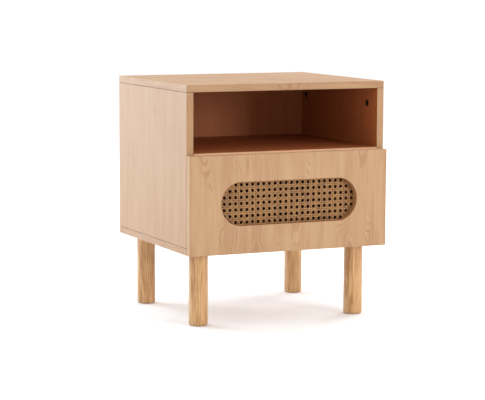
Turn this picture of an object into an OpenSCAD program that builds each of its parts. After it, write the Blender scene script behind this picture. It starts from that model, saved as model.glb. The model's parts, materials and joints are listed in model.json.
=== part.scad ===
// Nightstand with one open shelf space, one drawer with a cane inset, and four round legs.
// Millimetres. X runs to the right, Y to the back, Z up. The origin is on the floor, under
// the middle of the overall footprint, so the drawer front's face is at Y = -overall_depth / 2.

/* [Overall] */
// Width of the cabinet and of the drawer front
overall_width = 450; // [440:1:480]
// Depth from the drawer front's face to the rear edges of the side panels
overall_depth = 400; // [395:1:420]
// Height from the floor to the top
overall_height = 500; // [480:1:560]

/* [Boards] */
// Thickness of the carcass boards and of the drawer front
board = 15; // [15:1:18]
// Thickness of the drawer's side and back boards
drawer_board = 12; // [12:0.5:13]
// Thickness of the cabinet's back panel
back_board = 5; // [3:0.5:5]
// Thickness of the drawer's bottom
bottom_board = 3.2; // [3:0.1:4]
// Flat eased along every edge of the boards
eased_edge = 0.6; // [0.3:0.1:1]

/* [Layout] */
// Height of the carcass underside above the floor
carcass_z = 153; // [140:1:170]
// Clear height of the open shelf space
open_height = 124; // [110:1:140]
// Height of the shelf's front edge that shows above the drawer front
shelf_reveal = 4; // [2:0.5:6]
// Distance from the rear edges to the outside of the back panel
back_recess = 20; // [15:1:25]
// Gap between the closed drawer front and the carcass
front_gap = 1; // [0.8:0.1:2]

/* [Legs] */
// Diameter of a leg
leg_d = 40; // [36:1:42]
// Distance from a leg's axis to the carcass edges
leg_inset = 45; // [42:1:60]
// Radius of the rounding round a leg's foot
leg_round = 3.5; // [1:0.5:5]
// Diameter of the glide under a leg
glide_d = 28; // [20:1:30]
// Thickness of the glide under a leg
glide_t = 1; // [1:0.5:2]

/* [Cane inset] */
// Overall length of the round-ended window in the drawer front
window_length = 310; // [250:1:320]
// Height of the window, which is twice its end radius
window_height = 90; // [70:1:96]
// Distance that the window's centre lies above the drawer front's centre
window_rise = 1; // [0:0.5:3]
// Distance between neighbouring columns of holes in the woven cane
cane_pitch_x = 12.7; // [10:0.1:14]
// Distance between neighbouring rows of holes in the woven cane
cane_pitch_z = 13; // [10:0.1:14]
// Diameter of a hole in the woven cane
cane_hole = 5.2; // [4:0.1:6]
// Thickness of the woven cane
cane_t = 1.6; // [1.2:0.1:2]
// Width of cane that is stapled behind the window's edge
cane_margin = 17; // [12:1:18]

/* [Drawer box] */
// Gap between a drawer side and the cabinet side, where the runner sits
runner_gap = 12.5; // [12.5:0.1:13]
// Height of the drawer sides
drawer_side_height = 140; // [130:1:142]
// Length of the drawer sides
drawer_length = 350; // [340:1:352]
// Gap under the drawer sides
drawer_clearance = 12; // [10:1:15]
// Height of the bottom's groove above the lower edge of the drawer sides
groove_rise = 8; // [7:1:12]
// Depth of the grooves for the thin boards
groove_depth = 5; // [4:0.5:6]

/* [Runners] */
// Height of the outer channel
runner_height = 35; // [35:1:36]
// Length of each runner member
runner_length = 350; // [340:1:352]
// Sheet thickness of the runners
runner_sheet = 1.2; // [1:0.1:1.2]
// Diameter of a bearing ball
ball_d = 4.6; // [4.4:0.1:4.7]
// Balls in each row of a ball cage
balls_per_row = 11; // [8:1:11]
// Travel of the drawer
drawer_travel = 250; // [200:10:250]

/* [Hidden] */
$fn = 48;

// Directions, as the rotation that turns +Z to them.
UP = [0, 0, 0];
DOWN = [180, 0, 0];
RIGHT = [0, 90, 0];
LEFT = [0, -90, 0];
BACK = [-90, 0, 0];
FRONT = [90, 0, 0];
SIDES = [-1, 1];

// Carcass planes.
half_w = overall_width / 2;
face_y = -overall_depth / 2;
rear_y = overall_depth / 2;
carcass_y = face_y + board + front_gap;
inner_x = half_w - board;
side_z0 = carcass_z + board;
side_z1 = overall_height - board;
shelf_z1 = side_z1 - open_height;
shelf_z0 = shelf_z1 - board;
back_y1 = rear_y - back_recess;
back_y0 = back_y1 - back_board;
shelf_y1 = back_y0 - 0.5;
groove_play = 0.2;
seat = 0.5;
overshoot = 0.5;

// Knock-down fittings between the carcass boards.
cam_d = 15;
cam_depth = 12.5;
cam_drop = 34;
cam_edge = 46;
bolt_thread_d = 5;
bolt_thread_length = 11;
bolt_bore_d = 8;
dowel_d = 8;
dowel_length = 30;
dowel_in_face = 10;
dowel_in_end = 21;
dowel_step = 32;
mid_side_x = inner_x + board / 2;
mid_shelf_z = shelf_z0 + board / 2;
cam_front_y = carcass_y + cam_edge;
cam_rear_y = rear_y - cam_edge;
shelf_cam_rear_y = shelf_y1 - cam_edge;
shelf_cam_x = inner_x - cam_drop;
carcass_cam_ys = [cam_front_y, cam_rear_y];
carcass_dowel_ys = [cam_front_y + dowel_step, cam_rear_y - dowel_step];
shelf_cam_ys = [cam_front_y, shelf_cam_rear_y];
shelf_dowel_ys = [cam_front_y + dowel_step, shelf_cam_rear_y - dowel_step];

// Legs and their fittings.
leg_x = half_w - leg_inset;
leg_front_y = carcass_y + leg_inset;
leg_rear_y = rear_y - leg_inset;
leg_places = [for (s = SIDES) for (y = [leg_front_y, leg_rear_y]) [s * leg_x, y]];
insert_d = 10;
insert_depth = 13;
hanger_machine_r = 3.9;
hanger_wood_r = 3.5;
hanger_machine_length = 11;
hanger_wood_length = 30;
thread_pitch = 1.25;
thread_depth = 0.5;
glide_stem_r = 1.5;
glide_stem_length = 12;

// Drawer front and window.
front_z0 = carcass_z;
front_z1 = shelf_z1 - shelf_reveal;
front_back_y = face_y + board;
window_z = (front_z0 + front_z1) / 2 + window_rise;
window_r = window_height / 2;
cane_w = window_length + 2 * cane_margin;
cane_h = window_height + 2 * cane_margin;
cane_columns = floor((cane_w / 2 - cane_hole) / cane_pitch_x);
cane_rows = floor((cane_h / 2 - cane_hole) / cane_pitch_z);
cane_shift = [-2, -1];
staple_crown = 10;
staple_wire = 0.8;
staple_leg = 6;
staple_from_edge = 7;
staple_spacing = 40;
bumper_d = 8;
bumper_t = front_gap - 0.1;

// Drawer box.
box_x = inner_x - runner_gap;
box_inner_x = box_x - drawer_board;
box_z0 = side_z0 + drawer_clearance;
box_z1 = box_z0 + drawer_side_height;
box_y1 = front_back_y + drawer_length;
bottom_z0 = box_z0 + groove_rise;
bottom_z1 = bottom_z0 + bottom_board;
drawer_back_y0 = box_y1 - drawer_board;
drawer_mid_x = box_inner_x + drawer_board / 2;
drawer_back_mid_y = drawer_back_y0 + drawer_board / 2;
small_cam_d = 12;
small_cam_depth = 9.5;
small_cam_drop = 24;
small_bore_d = 6;
drawer_cam_y = front_back_y + small_cam_drop;
drawer_cam_zs = [box_z0 + 25, box_z1 - 25];
back_screw_zs = [box_z0 + 35, box_z1 - 25];
back_screw_d = 3.5;
back_screw_length = 35;
bottom_screw_xs = [-110, 0, 110];
bottom_screw_length = 16;

// Runners.
runner_z = box_z0 + 65;
runner_y0 = carcass_y + 3;
runner_ys = [runner_y0 + 35, runner_y0 + 175, runner_y0 + 315];
slide_y0 = front_back_y + 2;
slide_length = runner_length - 4;
slide_ys = [slide_y0 + 30, slide_y0 + 170, slide_y0 + 310];
channel_lip = 1.5;
channel_reach = 10.4;
channel_in = runner_height / 2 - runner_sheet;
ball_play = 0.2;
slide_out = channel_in - ball_d - 2 * ball_play;
slide_reach = 8.5;
ball_x = inner_x - 6;
ball_row_z = (channel_in + slide_out) / 2;
cage_sheet = 0.8;
cage_web_x = inner_x - runner_sheet - 1.1 - cage_sheet;
cage_finger = 6.2;
ball_pitch = 8;
cage_length = balls_per_row * ball_pitch;
cage_y0 = (runner_y0 + slide_y0 + slide_length - cage_length) / 2;
screw_d = 3.5;
screw_head_d = 6;
screw_head_t = 1.4;
screw_length = 12;
slide_screw_length = 10;

// Colours.
board_colour = [0.86, 0.74, 0.60];
hardboard_colour = [0.84, 0.70, 0.54];
leg_colour = [0.80, 0.62, 0.43];
cane_colour = [0.70, 0.52, 0.34];
beech_colour = [0.85, 0.70, 0.50];
zinc_colour = [0.72, 0.73, 0.75];
steel_colour = [0.66, 0.67, 0.69];
nylon_colour = [0.92, 0.91, 0.88];
clear_colour = [0.90, 0.91, 0.92];

// A rectangle whose four corners are cut off by the eased edge.
module eased_rectangle(w, h, e) {
    polygon([[e, 0], [w - e, 0], [w, e], [w, h - e], [w - e, h], [e, h], [0, h - e], [0, e]]);
}

// A board from its low corner to its high corner, with all twelve edges eased.
module eased_board(low, high, e = eased_edge) {
    size = high - low;
    translate(low) intersection() {
        linear_extrude(size[2]) eased_rectangle(size[0], size[1], e);
        translate([0, size[1], 0]) rotate([90, 0, 0])
            linear_extrude(size[1]) eased_rectangle(size[0], size[2], e);
        rotate([90, 0, 90]) linear_extrude(size[0]) eased_rectangle(size[1], size[2], e);
    }
}

// A plain box from its low corner to its high corner.
module plain_box(low, high) {
    translate(low) cube(high - low);
}

// A drill's cut: it starts just outside the face at `at` and goes `depth` into the board.
module bore(at, direction, d, depth) {
    translate(at) rotate(direction) translate([0, 0, -overshoot]) cylinder(d = d, h = depth + overshoot);
}

// A solid rod from `at` along `direction`.
module rod(at, direction, d, length) {
    translate(at) rotate(direction) cylinder(d = d, h = length);
}

// A window with round ends, through the drawer front along Y.
module round_ended_window(length, height, y0, y1) {
    straight = length - height;
    for (s = SIDES)
        translate([s * straight / 2, y1, window_z]) rotate(FRONT) cylinder(d = height, h = y1 - y0);
    plain_box([-straight / 2, y0, window_z - height / 2], [straight / 2, y1, window_z + height / 2]);
}

// A rod with a ring-shaped thread, along +Z from the origin.
module threaded_rod(r, length, pitch) {
    turns = floor(length / pitch);
    root_r = r - thread_depth;
    flank = [for (i = [0:turns - 1]) each [[r, (i + 0.25) * pitch], [root_r, (i + 0.75) * pitch]]];
    rotate_extrude() polygon(concat([[0, 0], [root_r, 0]], flank, [[root_r, length], [0, length]]));
}

// ---- Cuts that the boards share ----

// Bores for cam bolts and dowels in the face of the top or bottom panel.
module end_board_bores(z, direction) {
    for (s = SIDES) {
        for (y = carcass_cam_ys) bore([s * mid_side_x, y, z], direction, bolt_thread_d, bolt_thread_length);
        for (y = carcass_dowel_ys) bore([s * mid_side_x, y, z], direction, dowel_d, dowel_in_face);
    }
}

// Stopped groove for the back panel in the top or bottom panel.
module back_groove(z_low, z_high) {
    plain_box([-inner_x - groove_depth - seat, back_y0 - groove_play, z_low],
              [inner_x + groove_depth + seat, back_y1 + groove_play, z_high]);
}

// Everything cut into one side panel. The cuts are for the right one; the left one mirrors them.
module side_panel_cuts() {
    for (end = [[side_z1, DOWN, -1], [side_z0, UP, 1]]) {
        for (y = carcass_cam_ys) {
            bore([mid_side_x, y, end[0]], end[1], bolt_bore_d, cam_drop);
            bore([inner_x, y, end[0] + end[2] * cam_drop], RIGHT, cam_d, cam_depth);
        }
        for (y = carcass_dowel_ys) bore([mid_side_x, y, end[0]], end[1], dowel_d, dowel_in_end);
    }
    for (y = shelf_cam_ys) bore([inner_x, y, mid_shelf_z], RIGHT, bolt_thread_d, bolt_thread_length);
    for (y = shelf_dowel_ys) bore([inner_x, y, mid_shelf_z], RIGHT, dowel_d, dowel_in_face);
    for (y = runner_ys) bore([inner_x, y, runner_z], RIGHT, screw_d, screw_length - runner_sheet);
    plain_box([inner_x - overshoot, back_y0 - groove_play, side_z0 - overshoot],
              [inner_x + groove_depth + seat, back_y1 + groove_play, side_z1 + overshoot]);
}

module right_side_board() {
    difference() {
        eased_board([inner_x, carcass_y, side_z0], [half_w, rear_y, side_z1]);
        side_panel_cuts();
    }
}

// ---- Carcass ----

module top_panel() {
    color(board_colour) difference() {
        eased_board([-half_w, carcass_y, side_z1], [half_w, rear_y, overall_height]);
        end_board_bores(side_z1, UP);
        back_groove(side_z1 - overshoot, side_z1 + groove_depth + seat);
    }
}

module bottom_panel() {
    color(board_colour) difference() {
        eased_board([-half_w, carcass_y, carcass_z], [half_w, rear_y, side_z0]);
        end_board_bores(side_z0, DOWN);
        back_groove(side_z0 - groove_depth - seat, side_z0 + overshoot);
        for (p = leg_places) bore([p[0], p[1], carcass_z], UP, insert_d, insert_depth);
    }
}

module left_side_panel() {
    color(board_colour) mirror([1, 0, 0]) right_side_board();
}

module right_side_panel() {
    color(board_colour) right_side_board();
}

module shelf_panel() {
    color(board_colour) difference() {
        eased_board([-inner_x, carcass_y, shelf_z0], [inner_x, shelf_y1, shelf_z1]);
        for (s = SIDES) {
            inward = s > 0 ? LEFT : RIGHT;
            for (y = shelf_cam_ys) {
                bore([s * inner_x, y, mid_shelf_z], inward, bolt_bore_d, cam_drop);
                bore([s * shelf_cam_x, y, shelf_z0], UP, cam_d, cam_depth);
            }
            for (y = shelf_dowel_ys) bore([s * inner_x, y, mid_shelf_z], inward, dowel_d, dowel_in_end);
        }
    }
}

module back_panel() {
    color(hardboard_colour)
        plain_box([-inner_x - groove_depth, back_y0, side_z0 - groove_depth],
                  [inner_x + groove_depth, back_y1, side_z1 + groove_depth]);
}

// ---- Legs ----

// A turned leg with a rounded foot, bored at the top for its hanger bolt and below for its glide.
module leg(place) {
    r = leg_d / 2;
    length = carcass_z - glide_t;
    color(leg_colour) translate([place[0], place[1], glide_t]) difference() {
        union() {
            translate([0, 0, leg_round]) cylinder(r = r, h = length - leg_round, $fn = 96);
            cylinder(r = r - leg_round, h = leg_round, $fn = 96);
            translate([0, 0, leg_round]) rotate_extrude($fn = 96) intersection() {
                translate([r - leg_round, 0]) circle(r = leg_round);
                translate([r - leg_round, -leg_round]) square(leg_round);
            }
        }
        bore([0, 0, length], DOWN, 2 * hanger_wood_r, hanger_wood_length + 2);
        bore([0, 0, 0], UP, 2 * glide_stem_r, glide_stem_length);
    }
}

module front_left_leg() { leg([-leg_x, leg_front_y]); }
module front_right_leg() { leg([leg_x, leg_front_y]); }
module rear_left_leg() { leg([-leg_x, leg_rear_y]); }
module rear_right_leg() { leg([leg_x, leg_rear_y]); }

// Hanger bolts: wood thread down into the leg, machine thread up into the insert.
module leg_hanger_bolts() {
    color(steel_colour) for (p = leg_places) translate([p[0], p[1], carcass_z]) {
        threaded_rod(hanger_machine_r, hanger_machine_length, thread_pitch);
        mirror([0, 0, 1]) threaded_rod(hanger_wood_r, hanger_wood_length, 2 * thread_pitch);
    }
}

// Threaded inserts pressed into the bottom panel.
module leg_threaded_inserts() {
    color(zinc_colour) for (p = leg_places) translate([p[0], p[1], carcass_z]) difference() {
        cylinder(d = insert_d, h = insert_depth);
        translate([0, 0, -overshoot])
            cylinder(r = hanger_machine_r + 0.05, h = hanger_machine_length + 1 + overshoot);
    }
}

// Nail-in glides, which are what touches the floor.
module leg_glides() {
    color(nylon_colour) for (p = leg_places) translate([p[0], p[1], 0]) union() {
        cylinder(d = glide_d, h = glide_t);
        cylinder(r = glide_stem_r, h = glide_t + glide_stem_length - 1);
    }
}

// ---- Knock-down fittings ----

// An eccentric lock: a drum with a cross recess on its face and a slot for the bolt's head.
module cam_lock(at, direction, bolt_turn, d, depth, bolt_depth) {
    recess = d * 0.5;
    slit = d * 0.12;
    translate(at) rotate(direction) difference() {
        cylinder(d = d - 0.2, h = depth - 0.1);
        for (a = [0, 90]) rotate([0, 0, a]) translate([-recess / 2, -slit / 2, -overshoot])
            cube([recess, slit, overshoot + depth * 0.2]);
        translate([0, 0, bolt_depth]) rotate([0, 90, bolt_turn]) cylinder(d = d * 0.44, h = d);
    }
}

// A cam bolt: thread in the face board, shank across the bore, and a head caught in the lock.
module cam_bolt(at, direction, thread_d, thread_length, reach) {
    translate(at) rotate(direction) {
        translate([0, 0, -thread_length + 0.5]) cylinder(d = thread_d, h = thread_length - 0.5);
        cylinder(d = 6, h = reach - 8);
        translate([0, 0, reach - 8]) cylinder(d = 3.6, h = 5);
        translate([0, 0, reach - 3]) cylinder(d = 5.6, h = 3);
    }
}

// The same for the thinner drawer sides.
module small_cam_bolt(at, direction, thread_length, reach) {
    translate(at) rotate(direction) {
        translate([0, 0, -thread_length + 0.5]) cylinder(d = bolt_thread_d, h = thread_length - 0.5);
        cylinder(d = 5, h = reach - 6);
        translate([0, 0, reach - 6]) cylinder(d = 3, h = 4);
        translate([0, 0, reach - 2]) cylinder(d = 4.6, h = 2);
    }
}

module panel_cam_locks() {
    mid = board / 2;
    color(zinc_colour) for (s = SIDES) {
        outward = s > 0 ? RIGHT : LEFT;
        for (y = carcass_cam_ys) {
            cam_lock([s * inner_x, y, side_z1 - cam_drop], outward, s > 0 ? 180 : 0, cam_d, cam_depth, mid);
            cam_lock([s * inner_x, y, side_z0 + cam_drop], outward, s > 0 ? 0 : 180, cam_d, cam_depth, mid);
        }
        for (y = shelf_cam_ys)
            cam_lock([s * shelf_cam_x, y, shelf_z0], UP, s > 0 ? 0 : 180, cam_d, cam_depth, mid);
    }
}

module panel_cam_bolts() {
    color(steel_colour) for (s = SIDES) {
        for (y = carcass_cam_ys) {
            cam_bolt([s * mid_side_x, y, side_z1], DOWN, bolt_thread_d, bolt_thread_length, cam_drop);
            cam_bolt([s * mid_side_x, y, side_z0], UP, bolt_thread_d, bolt_thread_length, cam_drop);
        }
        for (y = shelf_cam_ys)
            cam_bolt([s * inner_x, y, mid_shelf_z], s > 0 ? LEFT : RIGHT,
                     bolt_thread_d, bolt_thread_length, cam_drop);
    }
}

module panel_dowels() {
    color(beech_colour) for (s = SIDES) {
        for (y = carcass_dowel_ys) {
            rod([s * mid_side_x, y, side_z1 + dowel_in_face - seat], DOWN, dowel_d, dowel_length);
            rod([s * mid_side_x, y, side_z0 - dowel_in_face + seat], UP, dowel_d, dowel_length);
        }
        for (y = shelf_dowel_ys)
            rod([s * (inner_x + dowel_in_face - seat), y, mid_shelf_z], s > 0 ? LEFT : RIGHT,
                dowel_d, dowel_length);
    }
}

// ---- Runners, drawn for the right side ----

// Outline of the outer channel, seen along Y: web on the cabinet side, two flanges with lips.
module channel_profile() {
    h = runner_height / 2;
    t = runner_sheet;
    polygon([
        [0, -h], [0, h], [-channel_reach, h], [-channel_reach, channel_in - channel_lip],
        [-channel_reach + t, channel_in - channel_lip], [-channel_reach + t, channel_in],
        [-t, channel_in], [-t, -channel_in], [-channel_reach + t, -channel_in],
        [-channel_reach + t, -channel_in + channel_lip], [-channel_reach, -channel_in + channel_lip],
        [-channel_reach, -h]
    ]);
}

// Outline of the inner slide: web on the drawer side, two flanges that run between the balls.
module slide_profile() {
    t = runner_sheet;
    polygon([
        [0, -slide_out], [slide_reach, -slide_out], [slide_reach, -slide_out + t], [t, -slide_out + t],
        [t, slide_out - t], [slide_reach, slide_out - t], [slide_reach, slide_out], [0, slide_out]
    ]);
}

// Outline of a ball cage: a web behind the slide, with a finger over and under it.
module cage_profile() {
    t = cage_sheet;
    z = ball_row_z + t / 2;
    polygon([
        [t, -z], [t, z], [-cage_finger, z], [-cage_finger, z - t], [0, z - t],
        [0, -z + t], [-cage_finger, -z + t], [-cage_finger, -z]
    ]);
}

// Runs an outline of X and Z along Y from y0.
module along_y(x, y0, z, length) {
    translate([x, y0 + length, z]) rotate([90, 0, 0]) linear_extrude(length) children();
}

module runner_channel() {
    difference() {
        along_y(inner_x, runner_y0, runner_z, runner_length) channel_profile();
        for (y = runner_ys)
            translate([inner_x - runner_sheet, y, runner_z]) rotate(RIGHT) countersink(overshoot);
    }
}

module runner_slide() {
    difference() {
        along_y(box_x, slide_y0, runner_z, slide_length) slide_profile();
        for (y = slide_ys)
            bore([box_x + runner_sheet, y, runner_z], LEFT, screw_d, runner_sheet + overshoot);
    }
}

module ball_cage() {
    difference() {
        along_y(cage_web_x, cage_y0, runner_z, cage_length) cage_profile();
        for (i = [0:balls_per_row - 1])
            translate([ball_x, cage_y0 + (i + 0.5) * ball_pitch, runner_z - runner_height / 2])
                cylinder(d = ball_d + 0.3, h = runner_height);
    }
}

module bearing_balls() {
    for (i = [0:balls_per_row - 1]) for (s = SIDES)
        translate([ball_x, cage_y0 + (i + 0.5) * ball_pitch, runner_z + s * ball_row_z]) sphere(d = ball_d);
}

// A countersunk hole through a runner's web, or with no overshoot the screw head that fills it.
module countersink(over) {
    head_r = screw_head_d / 2;
    rotate_extrude() polygon([
        [0, -over], [head_r, -over], [head_r, 0], [screw_d / 2, runner_sheet],
        [screw_d / 2, runner_sheet + over], [0, runner_sheet + over]
    ]);
}

// A pan-head screw: the head lies against the face at `at`, and the shank goes into the board.
module pan_screw(at, direction, head_d, head_t, d, length) {
    translate(at) rotate(direction) {
        translate([0, 0, -head_t]) cylinder(d = head_d, h = head_t);
        cylinder(d = d, h = length);
    }
}

module left_runner_channel() { color(steel_colour) mirror([1, 0, 0]) runner_channel(); }
module right_runner_channel() { color(steel_colour) runner_channel(); }
module left_runner_slide() { color(steel_colour) mirror([1, 0, 0]) runner_slide(); }
module right_runner_slide() { color(steel_colour) runner_slide(); }
module left_ball_cage() { color(zinc_colour) mirror([1, 0, 0]) ball_cage(); }
module right_ball_cage() { color(zinc_colour) ball_cage(); }
module left_bearing_balls() { color(steel_colour) mirror([1, 0, 0]) bearing_balls(); }
module right_bearing_balls() { color(steel_colour) bearing_balls(); }

module channel_screws() {
    color(zinc_colour) for (s = SIDES) for (y = runner_ys)
        translate([s * (inner_x - runner_sheet), y, runner_z]) rotate(s > 0 ? RIGHT : LEFT) union() {
            countersink(0);
            cylinder(d = screw_d, h = screw_length);
        }
}

module slide_screws() {
    color(zinc_colour) for (s = SIDES) for (y = slide_ys)
        pan_screw([s * (box_x + runner_sheet), y, runner_z], s > 0 ? LEFT : RIGHT, screw_head_d, screw_head_t,
                  screw_d, slide_screw_length + runner_sheet);
}

// ---- Drawer ----

module drawer_front() {
    color(board_colour) difference() {
        eased_board([-half_w, face_y, front_z0], [half_w, front_back_y, front_z1]);
        round_ended_window(window_length, window_height, face_y - overshoot, front_back_y + overshoot);
        plain_box(
            [-box_inner_x - groove_depth - seat, front_back_y - groove_depth - seat, bottom_z0 - groove_play],
            [box_inner_x + groove_depth + seat, front_back_y + overshoot, bottom_z1 + groove_play]
        );
        for (s = SIDES) for (z = drawer_cam_zs)
            bore([s * drawer_mid_x, front_back_y, z], FRONT, bolt_thread_d, bolt_thread_length);
    }
}

// The cut rectangle of woven cane behind the window, with its grid of holes.
module cane_panel() {
    color(cane_colour) translate([0, front_back_y + cane_t, window_z]) rotate(FRONT) linear_extrude(cane_t)
        difference() {
            square([cane_w, cane_h], center = true);
            for (i = [-cane_columns:cane_columns]) for (j = [-cane_rows:cane_rows])
                translate([i * cane_pitch_x, j * cane_pitch_z] + cane_shift) circle(d = cane_hole);
        }
}

// One staple over the cane: its crown along X or Z, its legs into the drawer front.
module staple(x, z, turn) {
    translate([x, front_back_y + cane_t, z]) rotate([0, turn, 0]) {
        translate([-staple_crown / 2, 0, -staple_wire / 2]) cube([staple_crown, staple_wire, staple_wire]);
        for (s = SIDES)
            translate([s * (staple_crown - staple_wire) / 2 - staple_wire / 2, -staple_leg, -staple_wire / 2])
                cube([staple_wire, staple_leg, staple_wire]);
    }
}

module cane_staples() {
    long_count = floor((cane_w - 2 * staple_from_edge) / staple_spacing);
    side_count = floor((cane_h - 2 * staple_from_edge) / staple_spacing);
    color(steel_colour) {
        for (s = SIDES) for (i = [0:long_count])
            staple((i - long_count / 2) * staple_spacing, window_z + s * (cane_h / 2 - staple_from_edge), 0);
        for (s = SIDES) for (i = [0:side_count])
            staple(s * (cane_w / 2 - staple_from_edge), window_z + (i - side_count / 2) * staple_spacing, 90);
    }
}

// Clear stick-on buffers between the closed drawer front and the side panels.
module drawer_bumpers() {
    color(clear_colour) for (s = SIDES) for (z = [front_z0 + 40, front_z1 - 25])
        rod([s * mid_side_x, front_back_y, z], BACK, bumper_d, bumper_t);
}

module right_drawer_board() {
    difference() {
        eased_board([box_inner_x, front_back_y, box_z0], [box_x, box_y1, box_z1]);
        plain_box([box_inner_x - overshoot, front_back_y - overshoot, bottom_z0 - groove_play],
                  [box_inner_x + groove_depth + seat, box_y1 + overshoot, bottom_z1 + groove_play]);
        for (z = drawer_cam_zs) {
            bore([drawer_mid_x, front_back_y, z], BACK, small_bore_d, small_cam_drop);
            bore([box_x, drawer_cam_y, z], LEFT, small_cam_d, small_cam_depth);
        }
        for (z = back_screw_zs)
            bore([box_x, drawer_back_mid_y, z], LEFT, back_screw_d, drawer_board + overshoot);
        for (y = slide_ys) bore([box_x, y, runner_z], LEFT, screw_d, slide_screw_length);
    }
}

module drawer_left_side() { color(board_colour) mirror([1, 0, 0]) right_drawer_board(); }
module drawer_right_side() { color(board_colour) right_drawer_board(); }

module drawer_back() {
    color(board_colour) difference() {
        eased_board([-box_inner_x, drawer_back_y0, bottom_z1], [box_inner_x, box_y1, box_z1]);
        for (s = SIDES) for (z = back_screw_zs)
            bore([s * box_inner_x, drawer_back_mid_y, z], s > 0 ? LEFT : RIGHT,
                 back_screw_d, back_screw_length - drawer_board);
        for (x = bottom_screw_xs)
            bore([x, drawer_back_mid_y, bottom_z1], UP, screw_d, bottom_screw_length - bottom_board);
    }
}

module drawer_bottom() {
    color(hardboard_colour) difference() {
        plain_box([-box_inner_x - groove_depth, front_back_y - groove_depth, bottom_z0],
                  [box_inner_x + groove_depth, box_y1, bottom_z1]);
        for (x = bottom_screw_xs)
            bore([x, drawer_back_mid_y, bottom_z0], UP, screw_d, bottom_board + overshoot);
    }
}

module drawer_cam_locks() {
    color(zinc_colour) for (s = SIDES) for (z = drawer_cam_zs)
        translate([s * box_x, drawer_cam_y, z]) rotate(s > 0 ? LEFT : RIGHT) difference() {
            cylinder(d = small_cam_d - 0.2, h = small_cam_depth - 0.1);
            for (a = [0, 90]) rotate([0, 0, a]) translate([-3, -0.7, -overshoot])
                cube([6, 1.4, overshoot + 2]);
            translate([0, 0, drawer_board / 2]) rotate([90, 0, 0]) cylinder(d = 5.2, h = small_cam_d);
        }
}

module drawer_cam_bolts() {
    color(steel_colour) for (s = SIDES) for (z = drawer_cam_zs)
        small_cam_bolt([s * drawer_mid_x, front_back_y, z], BACK, bolt_thread_length, small_cam_drop);
}

module drawer_back_screws() {
    color(zinc_colour) for (s = SIDES) for (z = back_screw_zs)
        pan_screw([s * box_x, drawer_back_mid_y, z], s > 0 ? LEFT : RIGHT, screw_head_d, screw_head_t,
                  back_screw_d, back_screw_length);
}

module drawer_bottom_screws() {
    color(zinc_colour) for (x = bottom_screw_xs)
        pan_screw([x, drawer_back_mid_y, bottom_z0], UP, screw_head_d, screw_head_t,
                  screw_d, bottom_screw_length);
}

top_panel();
bottom_panel();
left_side_panel();
right_side_panel();
shelf_panel();
back_panel();
front_left_leg();
front_right_leg();
rear_left_leg();
rear_right_leg();
leg_hanger_bolts();
leg_threaded_inserts();
leg_glides();
panel_cam_locks();
panel_cam_bolts();
panel_dowels();
left_runner_channel();
right_runner_channel();
channel_screws();
drawer_front();
cane_panel();
cane_staples();
drawer_bumpers();
drawer_left_side();
drawer_right_side();
drawer_back();
drawer_bottom();
drawer_cam_locks();
drawer_cam_bolts();
drawer_back_screws();
drawer_bottom_screws();
left_runner_slide();
right_runner_slide();
slide_screws();
left_ball_cage();
left_bearing_balls();
right_ball_cage();
right_bearing_balls();
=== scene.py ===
"""Looks for a bedside cabinet with an open shelf space, a drawer with a cane window, and four round legs.

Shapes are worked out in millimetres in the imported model's own frame: X to the right, Y to the back and Z up,
with the floor at Z = 0. They are turned to metres only as they go into a mesh.
"""

from __future__ import annotations

import json
import logging
import math
from dataclasses import dataclass, field
from enum import Enum, IntEnum
from typing import Any, Iterable

import bpy
import numpy as np
from mathutils import Matrix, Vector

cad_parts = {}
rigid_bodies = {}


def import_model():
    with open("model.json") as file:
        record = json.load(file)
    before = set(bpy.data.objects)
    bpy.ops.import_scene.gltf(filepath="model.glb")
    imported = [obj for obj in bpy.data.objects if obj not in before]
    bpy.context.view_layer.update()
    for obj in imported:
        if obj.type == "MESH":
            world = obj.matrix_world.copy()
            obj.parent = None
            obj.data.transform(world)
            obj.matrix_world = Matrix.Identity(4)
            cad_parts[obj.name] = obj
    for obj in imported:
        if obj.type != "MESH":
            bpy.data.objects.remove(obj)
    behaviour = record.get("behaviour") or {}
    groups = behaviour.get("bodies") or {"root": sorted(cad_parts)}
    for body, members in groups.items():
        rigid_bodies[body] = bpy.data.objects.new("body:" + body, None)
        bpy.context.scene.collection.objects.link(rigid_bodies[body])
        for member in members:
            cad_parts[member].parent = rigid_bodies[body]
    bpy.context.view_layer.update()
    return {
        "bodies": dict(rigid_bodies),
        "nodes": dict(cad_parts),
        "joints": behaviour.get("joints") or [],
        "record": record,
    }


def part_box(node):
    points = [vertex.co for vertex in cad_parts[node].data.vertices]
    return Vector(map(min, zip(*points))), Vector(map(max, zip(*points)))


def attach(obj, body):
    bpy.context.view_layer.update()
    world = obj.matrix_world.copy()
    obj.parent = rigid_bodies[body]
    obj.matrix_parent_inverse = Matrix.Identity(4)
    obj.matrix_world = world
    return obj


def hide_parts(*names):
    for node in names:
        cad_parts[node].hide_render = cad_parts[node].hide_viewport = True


log = logging.getLogger("nightstand")

MM = 0.001
GRAIN_MAP = "grain"
TINT = "tint"
TONE = "tone"
FIGURE = "figure"


class Axis(IntEnum):
    """A direction of the model's frame, numbered as a column of a point array."""

    X = 0
    Y = 1
    Z = 2


@dataclass(frozen=True)
class Tone:
    """How the colour of some of a board's faces differs from its finish, by real colour or as painted shade or light.

    Attributes:
        axis: the axis that the faces look along.
        side: 1 if they look up that axis, else -1.
        factor: what their red, green and blue are multiplied by.
        eased: whether it is the rounded edges round that end that are meant, not the flat face.
        in_front_of: the Y in millimetres up to which the tone reaches.
    """

    axis: Axis
    side: int
    factor: tuple[float, float, float]
    eased: bool = False
    in_front_of: float = math.inf
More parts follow.
